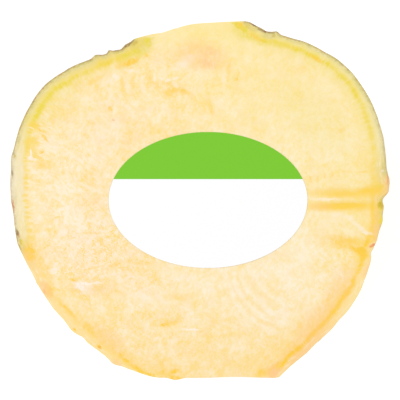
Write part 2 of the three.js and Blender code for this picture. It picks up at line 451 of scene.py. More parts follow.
# Marks of each colour: x, y, half length, half width, turn and strength. A mark fades to half at
# its half length and half width. These are patches, smears and fibres of a golden yellow.
GOLD_MARKS = [
    (52, -14.9, 7, 2.2, -6, 0.5), (47, -13.8, 8, 2.6, -4, 0.22), (55, -17.3, 2.4, 0.9, -14, 0.75),
    (57.2, -18.7, 2, 1.6, -30, 1.05), (57.3, -21.6, 0.6, 1.8, -8, 0.5), (59.9, -13.8, 1.8, 1.3, 20, 0.5),
    (61.6, -8.5, 1.8, 8, 0, 0.32), (62.7, 3.8, 2.2, 1.2, 4, 0.4), (-59.2, -18.6, 2.2, 1.7, -60, 0.6),
    (-59.6, -17.2, 2.6, 2.2, -60, 0.25), (-59.2, -21, 1.2, 1.4, 24, 0.3), (-57, -17.6, 4.2, 3.2, -40, 0.35),
    (-52.9, -31.8, 2, 1.2, -60, 0.8), (-51.9, -30.6, 1.6, 1, -40, 0.35), (-23.6, 48.4, 2.4, 0.95, 20, 0.85),
    (-27, 47.2, 2.6, 1.1, 16, 0.5), (-18.5, 50.7, 0.8, 0.6, 60, 0.7), (-9.2, 38.6, 2, 0.9, -14, 0.5),
    (-5.6, 37.8, 1.8, 1.1, -10, 0.55), (-3, 36.6, 1.5, 0.9, -40, 0.35), (-11, 40.9, 2.4, 0.7, -14, 0.4),
    (-17.7, 43.8, 2.2, 0.9, -76, 0.35), (-15.6, 40.4, 2, 1, -50, 0.35), (-10.6, 37.4, 2.6, 1.2, -10, 0.4),
    (-7, 39.6, 3, 1.3, -20, 0.35), (3.5, 33.8, 2.2, 0.9, -84, 0.28), (4.4, 30.8, 1.2, 0.9, -70, 0.35),
    (12.8, 42.4, 0.7, 0.6, 20, 0.6), (10.2, 45.6, 0.7, 2.8, -8, 0.4), (13.4, 44.4, 0.5, 1.6, 0, 0.3),
    (-10.4, -43.1, 3.4, 1.3, 11, 0.65), (-12.6, -43.8, 1.3, 0.5, 10, 0.45), (-7.4, -33.8, 5, 1.2, 3, 0.3),
    (-31.2, 32, 0.8, 0.8, 0, 0.75), (49.4, 24.3, 1.5, 0.8, 30, 0.35), (-38.9, -45, 2.8, 1.2, -48, 0.4),
    (-46.2, -38.3, 3.4, 0.6, -46, 0.5), (-43.8, -45.3, 0.7, 0.4, -40, 0.9), (-35, -51.3, 0.8, 0.5, -35, 0.9),
    (-27.7, -54.4, 0.6, 1, 10, 0.6), (-25.6, -56.1, 1.3, 0.6, -22, 0.85), (-22.6, -58.6, 2.4, 0.7, -28, 0.5),
    (-20.6, -59.8, 1.6, 0.6, -28, 0.85), (-17.4, -61.1, 1.8, 0.6, -14, 0.95),
    (-8.6, -59.9, 1.3, 0.7, 10, 0.95), (-11.8, -60.6, 2.8, 1.4, 10, 0.4), (-8.8, -62.3, 2.4, 0.7, -4, 0.9),
    (-32.9, -49.6, 13, 2.6, -42, 0.3), (-17, -58.2, 9, 2.6, -12, 0.3), (22.6, -60.4, 3, 1.3, 16, 0.65),
    (26.6, -58.3, 2.6, 0.8, 44, 0.85), (30.5, -51, 14, 4, 48, 0.25), (46, -36.9, 11, 3.6, 57, 0.3),
    (51, -32.9, 1.9, 0.9, 56, 0.5), (-54, -24.6, 5, 1.3, -62, 0.35), (-47.6, -37.2, 7, 1, -46, 0.3),
    (13.7, -48.5, 1.6, 0.9, 40, 0.35), (-36.5, -23.6, 4, 0.4, 10, 0.4), (-30, -22.9, 2.4, 0.8, 25, 0.5),
    (-21, -21.7, 6.5, 0.9, -4, 0.25), (-44.1, -28.2, 1.5, 0.4, -22, 0.9), (-34.7, -28.6, 1.2, 0.4, 40, 0.5),
    (-38, -11.6, 5, 0.35, 0, 0.45), (-36.4, -0.2, 2, 1.1, 40, 0.4), (-55.2, 24.2, 1.9, 0.35, -30, 0.75),
    (-54.2, 21.6, 1.8, 0.4, -46, 0.8), (-55.2, 16.6, 0.9, 0.5, 0, 0.9), (-55.9, 26, 1.6, 0.3, -20, 0.5),
    (-55.8, 12.4, 3.4, 1.1, 4, 0.4), (-49.8, -6.1, 0.9, 0.35, 10, 0.6), (-45.8, -12.1, 0.4, 1.6, 0, 0.45),
    (40, 7.6, 5.6, 0.9, 4, 0.15), (38.6, 7.2, 0.5, 0.9, 0, 0.45), (41.2, 7.7, 0.4, 0.9, 0, 0.35),
    (44, 8.5, 0.4, 1, 0, 0.4), (46.6, 8.9, 0.4, 0.8, 0, 0.4), (51.6, 9.9, 1.6, 0.3, 0, 0.35),
    (57.2, 9.8, 1.8, 0.4, 0, 0.4), (-47, 10, 2.6, 1, 10, 0.2), (-52.5, -22.5, 1.6, 1, 30, 0.3),
    (-27, 40.9, 0.7, 2.2, 8, 0.4), (-23.4, 41, 0.7, 2.4, 0, 0.35), (-24.4, 45.8, 1.6, 0.5, 20, 0.4),
    (18.4, 57.7, 1, 0.6, -10, 0.6), (14.4, 61.7, 0.6, 0.5, 0, 0.9), (14, 61, 1.4, 0.8, -40, 0.5),
    (20.7, 56.3, 2.4, 0.6, -22, 0.5), (41, 49.4, 2.6, 0.6, -36, 0.7), (36, 45.8, 1.8, 1.4, 0, 0.25),
    (-36.4, 42, 3.4, 0.7, 30, 0.35),
]
# Yellow-green patches, most of them where the ring runs out at the trimmed crown.
GREEN_MARKS = [
    (-17.9, 56.4, 1.7, 0.6, 8, 0.8), (-18.1, 54.9, 1.2, 1, 0, 0.65), (-24.2, 51.5, 2.9, 0.9, 16, 0.42),
    (-27.4, 50.4, 2, 0.9, 16, 0.42), (-19.8, 53.4, 3.6, 2.8, 10, 0.45), (-23.5, 50, 3.8, 2.2, 24, 0.35),
    (13.8, 61, 1.5, 1, -42, 0.85), (15.6, 59.9, 1.2, 0.9, -30, 0.85), (12.6, 61.9, 1.6, 0.4, 0, 0.6),
    (14.4, 58.8, 3.4, 2.2, -44, 0.38), (22.4, 55.7, 1, 0.6, -20, 0.7), (19.5, 56.6, 4.6, 1.5, -24, 0.5),
    (27, 54.6, 3.4, 1.2, -18, 0.4), (-56.5, 30, 0.8, 0.8, 60, 0.7), (-60.3, 28.6, 1.8, 0.8, 62, 0.4),
    (-48, 33, 12, 4, 52, 0.12), (40, 28, 15, 7, -45, 0.14), (63.6, -1.3, 1.2, 1.6, 0, 0.8),
    (63.4, -5, 0.7, 3.2, 0, 0.55), (63.4, -7.3, 0.6, 0.8, 0, 0.8), (-62.2, -14.9, 0.6, 1, 20, 0.8),
    (62.6, 4.9, 1.6, 0.8, 0, 0.35),
]
OLIVE_MARKS = [
    (63.7, -1.4, 1.1, 1.4, 0, 0.9), (-64.6, 15.3, 0.5, 0.4, 60, 0.95), (-62.6, -14.6, 0.4, 1, 20, 0.6),
    (25.9, 57.5, 0.6, 0.6, 0, 0.5), (-22.6, 54.9, 1.4, 0.5, 38, 0.55), (16.6, 61, 1.4, 0.6, -38, 0.3),
]
# Greyish green, as the layer under the skin shows where the knife grazes it.
GREY_MARKS = [
    (-20.6, 54.4, 4, 2.2, 24, 0.3), (18.6, 59.6, 1.6, 0.8, -28, 0.25), (24.2, 57.2, 2.6, 0.8, -5, 0.4),
    (-65.3, 10.5, 0.4, 3, 0, 0.2), (64.3, 10.6, 0.7, 2, 0, 0.4), (-64.5, 15.8, 0.7, 1.6, 0, 0.3),
    (-63.3, 21, 0.6, 1.3, -20, 0.4), (64.2, 0.8, 0.5, 0.8, 0, 0.45), (-64.4, 0.4, 0.5, 3, 0, 0.3),
]
# Dark bits of bark left on the skin's edge.
BARK_MARKS = [
    (-24.8, 54.2, 2.2, 0.4, 37, 0.7), (17.9, 61.8, 0.9, 0.3, -35, 0.4), (19.2, 61, 0.9, 0.4, -30, 0.7),
    (20.7, 59.8, 1.1, 0.5, -35, 0.5), (22.3, 59, 1.1, 0.5, -25, 0.7), (24.6, 58.6, 1.6, 0.3, -2, 0.5),
    (-64.9, 16.1, 0.4, 0.3, 0, 0.5), (-65.6, 9.2, 0.35, 1.5, 0, 0.55), (-63.7, -11.7, 0.4, 1.3, 18, 0.8),
    (-65.3, -1.9, 0.35, 2.2, 6, 0.26),
]
PALE_MARKS = [
    (-59, 16.6, 0.3, 1.2, -4, 1), (-59.1, 14.8, 0.8, 0.7, 0, 1), (-41.3, -29.1, 2.8, 0.6, -4, 0.8),
    (-41, -30, 3, 1.3, -8, 0.35), (-36.6, -29.1, 2.6, 0.45, 4, 0.7), (-41.8, -30.6, 1.7, 0.9, -12, 0.7),
    (-40.3, -31.8, 0.9, 0.9, -20, 0.5), (-2.8, -45.4, 3, 0.35, 0, 0.95), (53.4, -7, 1.8, 0.8, -50, 0.4),
    (56.2, -9.8, 2.4, 0.7, -38, 0.55), (59, -11.6, 1.4, 0.5, -14, 0.6), (49.5, -5.6, 3, 0.7, -8, 0.35),
    (-4.6, 48.8, 3.2, 2, 30, 0.3), (-6.8, 46.8, 2.6, 1.4, 20, 0.3), (-8.2, 42.6, 1.4, 0.5, 6, 0.6),
    (-11, 41.9, 1, 0.45, 20, 0.75), (-13.4, 42.6, 0.8, 0.4, 0, 0.6), (-8.6, 40.4, 1.4, 0.6, -30, 0.5),
    (-15.6, 42.8, 0.4, 1.2, 8, 0.5), (-20, 41, 0.7, 2.6, 6, 0.45), (-25.3, 39.6, 0.8, 2.8, 18, 0.4),
    (8.6, 43, 0.9, 2.8, 0, 0.35), (-24, 45.2, 2.2, 0.5, -8, 0.5), (-29.6, 43.4, 1, 0.6, -20, 0.5),
    (-48, -11.4, 2.3, 1, 20, 0.5), (-35.2, -8, 1.3, 0.7, 60, 0.6), (-31, 42, 3.4, 1.2, 20, 0.3),
    (-50, -24, 2.6, 0.7, 25, 0.45), (-44.5, -20, 2, 0.8, -30, 0.5), (-32, -14.5, 2, 0.7, 30, 0.5),
    (-41, -3.6, 1.8, 0.9, 50, 0.4), (-57.8, 23, 1.2, 0.45, 0, 0.4), (64, 10.2, 0.6, 0.5, 0, 0.5),
    (44, 0.3, 5, 0.4, 0, 0.5), (-58.6, 25, 1.4, 0.3, -26, 0.5), (-53.8, 29.2, 2, 1, 20, 0.3),
]
PINK_MARKS = [
    (0.6, 50.4, 8.4, 4.9, -8, 0.55), (3.9, 52, 2.6, 1.6, 0, 0.2), (2.6, 47.8, 2.6, 1.4, -20, 0.3),
    (26.4, -60.5, 2.4, 1.1, 42, 1.15), (66, 5.2, 1.2, 3, 4, 0.6), (-53.6, -31.5, 3, 1.5, -58, 0.8),
    (-39, -31, 7, 2.4, -10, 0.25), (-33, -22, 20, 9, -20, 0.14), (30, -54, 8, 1, 48, 0.25),
    (50, -30, 8, 4, 60, 0.35), (-31, -49, 6, 3, -42, 0.3), (40, -43.5, 9, 4, 50, 0.42),
    (-29.2, -57, 2, 1, -22, 0.6), (-29, 24, 10, 8, 20, 0.12), (-36, 0, 5, 13, 0, 0.12),
    (-13, 49, 5, 4, 0, 0.14), (62, -12.2, 1.6, 3, 20, 0.35), (42.5, -2.5, 4, 1.3, 0, 0.35),
    (-59.2, -19.2, 2, 1.6, -60, 0.2), (59, -24, 3.4, 1.4, 66, 0.6), (24.8, -59.2, 2.6, 1, 42, 0.5),
]
RED_MARKS = [
    (60.5, -15.9, 1, 0.55, 25, 0.9), (-30.2, 28, 0.5, 0.4, 0, 0.35), (-65.2, -1.9, 0.3, 2.2, 6, 0.6),
    (-54.2, -32, 1.1, 0.4, -60, 0.16), (65.7, 7.2, 0.25, 1.8, 4, 0.5), (-63.3, -12.4, 0.35, 0.7, 18, 0.5),
    (-34.8, -51.5, 0.5, 0.3, -35, 0.4),
]
# The trace of the side root on the right: two smooth golden bands from its scar, and a line
# across them.
TRACE_MARKS = [
    (50.4, 2.4, 13, 1.8, 0, 0.6), (50, 2.2, 5, 0.8, 1, 0.25), (60.8, 4.2, 4.4, 1.5, 12, 0.38),
    (60.4, 3.2, 5, 2.6, 8, 0.22), (50.2, -2.1, 13, 1.75, 0, 0.8), (50.6, -2, 7, 0.9, 2, 0.35),
    (60.6, -5.8, 0.6, 7, 0, 0.55), (60.5, 10, 0.9, 4.5, 0, 0.25),
]
# Where the flesh is deeper or paler than elsewhere, more strongly mottled, streaked with fibres
# across the rim, or where the ring breaks up into dashes: x, y, half length, half width, turn
# and strength.
DEEP_ZONES = [
    (0, -57, 48, 8, 0, 0.3), (-40, -38, 20, 12, -42, 0.19), (38, 28, 24, 18, -40, 0.12),
    (30, -32, 16, 12, 45, -0.2), (-48, 2, 10, 22, 0, -0.1), (-2, 22, 40, 8, 0, 0.14), (0, 57, 18, 5, 0, 0.2),
    (48, 11, 12, 5, 0, 0.1), (-45, 36, 14, 8, 45, 0.12), (57, -4, 6, 17, 0, 0.34), (46, -2, 9, 4, 0, 0.18),
    (-3, 33, 8, 6, 0, 0.36), (-24.5, 40, 9, 6.5, 0, 0.2), (-38, 24, 8, 6, 0, -0.12),
    (-29, 15, 6, 5, 0, -0.1), (-24, -28, 14, 5, 0, -0.1), (36, -38, 8, 7, 45, 0.12), (0, -46, 10, 5, 0, 0.1),
    (28, -50, 9, 6, 0, 0.12), (0, 50, 16, 6, 0, 0.12), (17, 42, 11, 6, 0, 0.14), (-42, 15, 8, 6, 0, 0.09),
    (-55, -11, 5, 5, 0, 0.12), (32, 16, 6, 14, 0, -0.08), (33, -19, 10, 4, 0, -0.08),
    (24, -28, 6, 4, 0, -0.1), (-12, -50, 6, 7, 0, -0.08), (56, -22, 8, 7, 0, 0.3),
    (-26, -50, 10, 5, -25, 0.08), (12, 46, 12, 6, 0, 0.1), (23, 38, 7, 5, 0, 0.1), (15, 29, 5, 5, 0, 0.08),
    (25, 28, 5, 5, 0, -0.2), (15, 20.5, 5, 4, 0, -0.1), (43, 20, 12, 7, 0, -0.3), (-37, -6, 5, 5, 0, 0.2),
    (-28, -15, 8, 7, 0, 0.36), (-19, -24, 6, 5, 0, 0.22), (41, -12.5, 6.5, 5, 0, -0.22),
    (18, -58, 10, 5, 0, 0.1),
]
MOTTLED_ZONES = [
    (-34, -16, 17, 13, -20, 1.05), (-20, -50, 30, 12, 0, 0.45), (-8, 44, 16, 10, 0, 0.3),
    (-45, 12, 12, 16, 0, 0.35), (24, -44, 14, 10, 40, 0.2), (48, -22, 10, 8, 40, 0.3),
    (42, 12, 18, 10, 0, 0.3), (-46, -22, 12, 10, -30, 0.35),
]
FIBROUS_ZONES = [(-58, 12, 6.5, 24, 0, 1.0), (-57, 34, 6, 6, 30, 0.4), (-60, -8, 3, 6, 0, 0.4)]
# Yellow patches at the left, and the short dashes that the ring is broken into below them.
YELLOW_MARKS = [
    (-58.2, 26, 2, 1.6, -25, 0.7), (-56.8, 24.6, 3, 2, -30, 0.15), (-59.6, 23.6, 1.2, 0.4, -25, 0.6),
    (-58.6, 20, 2.4, 2.2, 0, 0.6), (-58.8, 16.4, 1.8, 1.6, 0, 0.5), (-60.6, 13, 1, 1.6, 0, 0.2),
    (-60.4, 10.4, 1, 0.6, 0, 0.35), (-60.8, 7.5, 1, 0.5, 0, 0.65), (-60.7, 5.8, 0.9, 0.45, 4, 0.65),
    (-60.5, 4.2, 0.8, 0.45, 0, 0.65), (-61, 1.5, 1.2, 0.55, 0, 0.65), (-60.9, -0.3, 1.1, 0.45, 0, 0.6),
    (-60.6, -2.5, 0.9, 0.45, 4, 0.65), (-60.4, -4.3, 1, 0.45, 0, 0.5), (-60.2, -5.9, 1, 0.6, 0, 0.65),
    (-59.5, -8.3, 1.1, 0.6, 0, 0.6), (-59.4, -10.8, 1.1, 0.7, 0, 0.6), (-59.2, -13.4, 1.6, 1, -30, 0.45),
]

# How the ring under the skin looks at angles round the cut face, clockwise from the crown: its
# depth below the skin, its half width, and how green and how golden it is.
RING_VALUES = ["ring_depth", "ring_width", "ring_green", "ring_gold"]
RING_AROUND = [
    (14, 2.4, 1.4, 0.45, 0.2), (24, 2.8, 1.3, 0.65, 0.2), (35, 3, 1.35, 0.9, 0.1),
    (50, 3.1, 1.35, 0.92, 0.1), (66, 3.3, 1.35, 0.75, 0.1), (76, 4.2, 1.4, 0.4, 0.2),
    (84, 4.6, 1.4, 0.45, 0.3), (90, 3.6, 1.4, 0.1, 0.3), (97, 3, 1.2, 0, 0.3), (106, 2.9, 0.85, 0, 0.95),
    (114, 3.1, 0.9, 0, 1.05), (122, 3.5, 1.05, 0, 1.15), (126, 3.7, 0.95, 0, 1.25),
    (138, 3.2, 0.85, 0, 1.35), (150, 2.7, 0.85, 0, 1.25), (156, 2.2, 0.8, 0, 0.8), (165, 1.4, 0.8, 0, 0.2),
    (195, 1, 0.7, 0, 0.2), (204, 2.2, 0.9, 0, 0.2), (212, 3.2, 1, 0, 0.27), (222, 3.6, 1.1, 0, 0.28),
    (234, 3.3, 1.1, 0, 0.25), (246, 3.4, 1, 0, 0.2), (256, 4.2, 1, 0.1, 0.2), (264, 4.6, 0.9, 0.15, 0.15),
    (275, 5.1, 0.9, 0.15, 0.15), (282, 5, 1, 0.3, 0.2), (290, 4, 1, 0.55, 0.2), (296, 3.6, 1.25, 0.95, 0.05),
    (303, 3.2, 1.5, 1.05, 0.05), (310, 3.3, 1.45, 0.95, 0.05), (316, 3.4, 1.4, 0.8, 0.2),
    (322, 3.3, 1.5, 0.8, 0.25), (328, 3, 1.6, 0.85, 0.3), (334, 2.6, 1.8, 0.7, 0.35),
    (342, 2.4, 1.5, 0.3, 0.15),
]
# At angles measured in the same way: how dark the skin's cut edge is, how green the layer under
# it, and how warm and how pale the layer below that.
EDGE_VALUES = ["edge_dark", "edge_green", "edge_warm", "edge_pale"]
EDGE_AROUND = [
    (14, 0.85, 0.85, 0.3, 0), (30, 0.7, 0.9, 0.15, 0), (55, 0.45, 1, 0.1, 0), (72, 0.35, 0.9, 0.1, 0.4),
    (80, 0.4, 0.8, 0.6, 0), (85, 0.55, 0.5, 0.9, 0), (90, 0.4, 0.35, 0.9, 0), (97, 0.3, 0.3, 0.9, 0),
    (103, 0.1, 0.1, 0.4, 0), (110, 0, 0, 0.15, 0), (126, 0, 0, 0.1, 0), (138, 0, 0, 0.7, 0),
    (144, 0, 0, 1, 0), (149, 0, 0, 1, 0), (156, 0, 0, 0.3, 0), (200, 0, 0, 0, 0), (216, 0, 0, 0.2, 0),
    (235, 0, 0, 0.25, 0), (246, 0, 0, 0.4, 0), (252.5, 0, 0.15, 0.9, 0), (255, 0.45, 0.8, 0.9, 0),
    (257, 0.55, 0.75, 0.6, 0.1), (260, 0.5, 0.7, 0.4, 0.4), (266, 0.45, 0.7, 0.1, 0.7),
    (273, 0.35, 0.65, 0, 1), (281, 0.4, 0.7, 0, 1), (286, 0.55, 0.85, 0.3, 0.4), (290, 0.6, 0.9, 0.35, 0.1),
    (300, 0.75, 0.95, 0.5, 0), (318, 0.75, 1, 0.7, 0), (338, 0.9, 0.95, 0.8, 0),
]


def profile(table, column, angle):
    """A column of a table at angles round the cut face, with the ends joined."""
    table = np.asarray(table, float)
    places = np.concatenate([table[-1:, 0] - 360, table[:, 0], table[:1, 0] + 360])
    values = np.concatenate([table[-1:, column], table[:, column], table[:1, column]])
    return np.interp(angle, places, values)


# ---------------------------------------------------------------- building the mesh

# The root's material slots, and the vertices at its two poles and the first one between them.
FLESH, SKIN = 0, 1
CROWN_POLE, ROOT_POLE, FIRST_SKIN_VERTEX = 0, 1, 2


def placed(name, data):
    """A new object in the scene, made of this data."""
    thing = bpy.data.objects.new(name, data)
    bpy.context.scene.collection.objects.link(thing)
    return thing


def new_piece(name, points, polygons):
    """A smooth piece from points in millimetres."""
    mesh = bpy.data.meshes.new(name)
    mesh.from_pydata((np.asarray(points) * MM).tolist(), [], polygons)
    mesh.validate()
    mesh.update()
    mesh.shade_smooth()
    return placed(name, mesh)


def quads_between(first, second, closed):
    """Corners of the quads between two rows of vertices, or between the rows of two grids."""
    first_next, second_next = np.roll(first, -1, -1), np.roll(second, -1, -1)
    if not closed:
        first, first_next, second, second_next = (
            grid[..., :-1] for grid in (first, first_next, second, second_next))
    return np.stack([first, first_next, second_next, second], -1).reshape(-1, 4)


def sharpen(mesh, *loops):
    """Makes the edges along loops of vertices sharp, so that each side keeps its own shading."""
    loop_of_vertex = np.full(len(mesh.vertices), -1)
    for number, loop in enumerate(loops):
        loop_of_vertex[loop] = number
    ends = np.empty(2 * len(mesh.edges), np.int32)
    mesh.edges.foreach_get("vertices", ends)
    first, second = loop_of_vertex[ends.reshape(-1, 2)].T
    sharp = mesh.attributes.new("sharp_edge", "BOOLEAN", "EDGE")
    sharp.data.foreach_set("value", (first == second) & (first >= 0))


def fan(middle, ring):
    """Triangles from one vertex to each edge of a row."""
    return [[middle, int(here), int(after)] for here, after in zip(ring[:-1], ring[1:])]


def swede_body():
    """One closed mesh: the skin, the trimmed ends, and the cut face as rings round its middle."""
    body_ids = FIRST_SKIN_VERTEX + np.arange((ROW_COUNT - 2) * (COLUMNS + 1)).reshape(-1, COLUMNS + 1)
    face_start = FIRST_SKIN_VERTEX + body_ids.size
    face_ids = face_start + np.arange(len(face_xy) * BOUNDARY).reshape(-1, BOUNDARY)
    middle = face_start + face_ids.size
    edge_ids = np.concatenate([[CROWN_POLE], body_ids[:, 0], [ROOT_POLE], body_ids[::-1, COLUMNS]])

    points = np.concatenate([
        skin_points[[0, -1], 0], skin_points[1:-1].reshape(-1, 3), face_points.reshape(-1, 3),
        [[0, 0, CUT_HEIGHT]],
    ])
    body_quads = quads_between(body_ids[1:], body_ids[:-1], closed=False)
    row_of_quad = np.repeat(np.arange(1, ROW_COUNT - 2), COLUMNS)
    is_skin = (row_of_quad >= FIRST_SKIN_ROW) & (row_of_quad < LAST_SKIN_ROW)
    chamfer_quads = quads_between(face_ids[-1], edge_ids, closed=True)
    face_quads = quads_between(face_ids[:-1], face_ids[1:], closed=True)
    fans = (
        fan(CROWN_POLE, body_ids[0]) + fan(ROOT_POLE, body_ids[-1][::-1])
        + fan(middle, np.append(face_ids[0], face_ids[0][0])[::-1])
    )
    polygons = body_quads.tolist() + chamfer_quads.tolist() + face_quads.tolist() + fans
    piece = new_piece("swede_half_body", points, polygons)
    indices = np.zeros(len(polygons), np.int32)
    indices[:len(body_quads)] = np.where(is_skin, SKIN, FLESH)
    piece.data.polygons.foreach_set("material_index", indices)
    sharpen(piece.data, edge_ids, face_ids[-1])
    return piece


swede = swede_body()


def set_attribute(name, body, face=0):
    """A value at every vertex, from its values on the skin and trimmed ends and on the face."""
    body = np.broadcast_to(body, from_crown_grid.shape)[1:-1].ravel()
    face = np.broadcast_to(face, face_rim.shape).ravel()
    values = np.concatenate([[body[0], body[-1]], body, face, [face[0]]])
    attribute = swede.data.attributes.new(name, "FLOAT", "POINT")
    attribute.data.foreach_set("value", values.astype(np.float32))


# Seed of the first of three zones' ragged edges.
FIRST_ZONE_SEED = 60
# Travel is the way along the skin in millimetres. On the skin itself it grows by this much with
# each radian round the root, and a jump over a trimmed end counts as no more than JUMP.
TRAVEL_PER_RADIAN = 18
JUMP = 2


def end_rim():
    """Distance of each point to the nearer line where a trimmed end meets the skin.

    The skin's own cut edge counts as part of that line.
    """
    lines = (skin_points[row] for row in (FIRST_SKIN_ROW, LAST_SKIN_ROW))
    gaps = np.min([nearest(skin_points, line)[0] for line in lines], axis=0)
    gaps = gaps.reshape(from_crown_grid.shape)
    gaps[FIRST_SKIN_ROW:LAST_SKIN_ROW + 1, [0, COLUMNS]] = 0
    return gaps


def skin_values():
    """Where the skin's scars are, and where on the root each point lies."""
    pit, rim = scar_shapes(from_crown_grid, around_grid)
    lip, scar_face = leaf_scar_shapes(from_crown_grid, around_grid)
    return {
        "scar_pit": pit, "scar_rim": rim, "leaf_lip": lip, "leaf_scar": scar_face,
        "down": from_crown_grid, "around": around_grid,
    }


def paint_values():
    """Gives the root the values that its flesh and skin are painted by."""
    face_angle = np.degrees(np.arctan2(face_xy[..., 0], face_xy[..., 1])) % 360
    # The skin and the trimmed ends take the angle of their own side, right or left.
    body_angle = np.where(np.arange(COLUMNS + 1) < COLUMNS / 2, from_crown_grid, -from_crown_grid) % 360
    for table, names in ((RING_AROUND, RING_VALUES), (EDGE_AROUND, EDGE_VALUES)):
        for column, name in enumerate(names, 1):
            set_attribute(name, profile(table, column, body_angle), profile(table, column, face_angle))

    set_attribute("rim", end_rim(), face_rim)
    steps = np.linalg.norm(np.diff(skin_edge, axis=0), axis=1)
    travel = np.concatenate([[0], np.cumsum(np.minimum(steps, JUMP))])
    set_attribute("travel", np.radians(around_grid) * TRAVEL_PER_RADIAN, travel[face_near])

    near_face = smooth_step(3, 0, CUT_HEIGHT - skin_points[..., 2])
    zones = {"deep": DEEP_ZONES, "mottled": MOTTLED_ZONES, "fibrous": FIBROUS_ZONES}
    for seed, (name, marks) in enumerate(zones.items(), FIRST_ZONE_SEED):
        body = marked(skin_points[..., :2], marks, seed) * near_face
        set_attribute(name, body, marked(face_xy, marks, seed))
    set_attribute("ripple", 0, ripples(face_xy))
    for name, value in skin_values().items():
        set_attribute(name, value)


paint_values()

# ---------------------------------------------------------------- materials

# How brightly the studio lights a level surface. Colours are given as they show under it.
LIGHT_LEVEL = 1.16


def shown(red, green, blue):
    """The surface colour that shows as an everyday 0 to 255 colour in the studio's light."""
    def linear(value):
        value /= 255
        return value / 12.92 if value <= 0.04045 else ((value + 0.055) / 1.055) ** 2.4
    return (linear(red) / LIGHT_LEVEL, linear(green) / LIGHT_LEVEL, linear(blue) / LIGHT_LEVEL, 1)


# A mark ends at MARK_REACH half widths, and MARK_DEPTH below the cut face. It has its full
# strength where it is nearer to its middle than MARK_CORE, with 1 in the middle and 0 at its end.
MARK_REACH = 1.6
MARK_DEPTH = 4
MARK_CORE = 0.75


class Painter:
    """Builds one material's nodes. A method that paints returns the socket with its result."""

    def __init__(self, name, roughness, **settings):
        self.material = bpy.data.materials.new(name)
        self.material.use_nodes = True
        self.tree = self.material.node_tree
        self.shader = self.tree.nodes["Principled BSDF"]
        self.shader.inputs["Roughness"].default_value = roughness
        for socket, value in settings.items():
            self.shader.inputs[socket.replace("_", " ")].default_value = value

    def put(self, socket, value):
        if isinstance(value, bpy.types.NodeSocket):
            self.tree.links.new(value, socket)
        else:
            socket.default_value = value

    def node(self, kind, inputs, **settings):
        """A new node with these settings, and these inputs by their name or number."""
        node = self.tree.nodes.new("ShaderNode" + kind)
        for name, value in settings.items():
            setattr(node, name, value)
        for name, value in inputs.items():
            self.put(node.inputs[name], value)
        return node

    def attribute(self, name):
        return self.node("Attribute", {}, attribute_name=name).outputs["Fac"]

    def place(self):
        """The point's place in the part's frame, in millimetres."""
        return self.stretched(self.node("TexCoord", {}).outputs["Object"], (1 / MM,) * 3)

    def parts(self, vector):
        return self.node("SeparateXYZ", {0: vector}).outputs

    def stretched(self, vector, factors):
        return self.node("VectorMath", {0: vector, 1: factors}, operation="MULTIPLY").outputs[0]

    def vector(self, x, y, z=0.0):
        return self.node("CombineXYZ", {0: x, 1: y, 2: z}).outputs[0]

    def maths(self, operation, *values, clamp=False):
        return self.node("Math", dict(enumerate(values)), operation=operation, use_clamp=clamp).outputs[0]

    def times(self, *values, clamp=False):
        total = values[0]
        for value in values[1:]:
            total = self.maths("MULTIPLY", total, value, clamp=clamp)
        return total

    def plus(self, *values):
        total = values[0]
        for value in values[1:]:
            total = self.maths("ADD", total, value)
        return total

    def noise(self, vector, size, detail=3.0, rough=0.5, swirl=0.0, output="Fac"):
        """Noise around 0.5 whose patches are about size across."""
        return self.node("TexNoise", {
            "Vector": vector, "Scale": 1 / size, "Detail": detail, "Roughness": rough, "Distortion": swirl,
        }).outputs[output]

    def seen_from(self, vector, place, turn, size):
        """The vector as seen from a thing at this place, with this turn and size."""
        return self.node("Mapping", {
            "Vector": vector, "Location": place, "Rotation": (0, 0, math.radians(turn)), "Scale": size,
        }, vector_type="TEXTURE").outputs[0]

    def drawn_out(self, vector, turn, length, width):
        """Noise in patches of this length and width that lie at one angle on the cut face."""
        return self.noise(self.seen_from(vector, (0, 0, 0), turn, (length, width, width)), 1, 1)

    def shaken(self, vector, size, reach):
        """The vector moved by noise, by up to about half of reach each way."""
        shift = {0: self.noise(vector, size, 2, output="Color"), 1: (reach, reach, 0), 2: vector}
        moved = self.node("VectorMath", shift, operation="MULTIPLY_ADD").outputs[0]
        back = {0: moved, 1: (reach / 2, reach / 2, 0)}
        return self.node("VectorMath", back, operation="SUBTRACT").outputs[0]

    def marks(self, place, table):
        """How strongly a table's marks show on the cut face."""
        total = 0.0
        for x, y, length, width, turn, strength in table:
            size = (MARK_REACH * length, MARK_REACH * width, MARK_DEPTH)
            near = self.seen_from(place, (x, y, CUT_HEIGHT), turn, size)
            ball = self.node("TexGradient", {"Vector": near}, gradient_type="SPHERICAL")
            total = self.plus(total, self.span(ball.outputs["Fac"], 0, MARK_CORE, 0, strength))
        return total

    def span(self, value, low, high, start=0.0, end=1.0):
        """Maps low..high to start..end smoothly, and holds it beyond.

        The smooth step keeps to its ends by itself. Clamping it as well would cost a node for
        every mark, and the shader has no room for them.
        """
        return self.node("MapRange", {
            "Value": value, "From Min": low, "From Max": high, "To Min": start, "To Max": end,
        }, interpolation_type="SMOOTHSTEP", clamp=False).outputs[0]

    def mix(self, share, first, second):
        """The first colour under a share of the second: each a socket, or a colour as it shows."""
        first, second = (shown(*value) if isinstance(value, tuple) else value for value in (first, second))
        return self.node("Mix", {"Factor": share, 6: first, 7: second}, data_type="RGBA").outputs[2]

    def bump(self, height, distance, strength=1.0, below=None):
        inputs = {"Height": height, "Distance": distance * MM, "Strength": strength}
        if below is not None:
            inputs["Normal"] = below
        return self.node("Bump", inputs).outputs[0]

    def finish(self, colour, roughness=None, normal=None):
        for socket, value in (("Base Color", colour), ("Roughness", roughness), ("Normal", normal)):
            if value is not None:
                self.put(self.shader.inputs[socket], value)
        return self.material


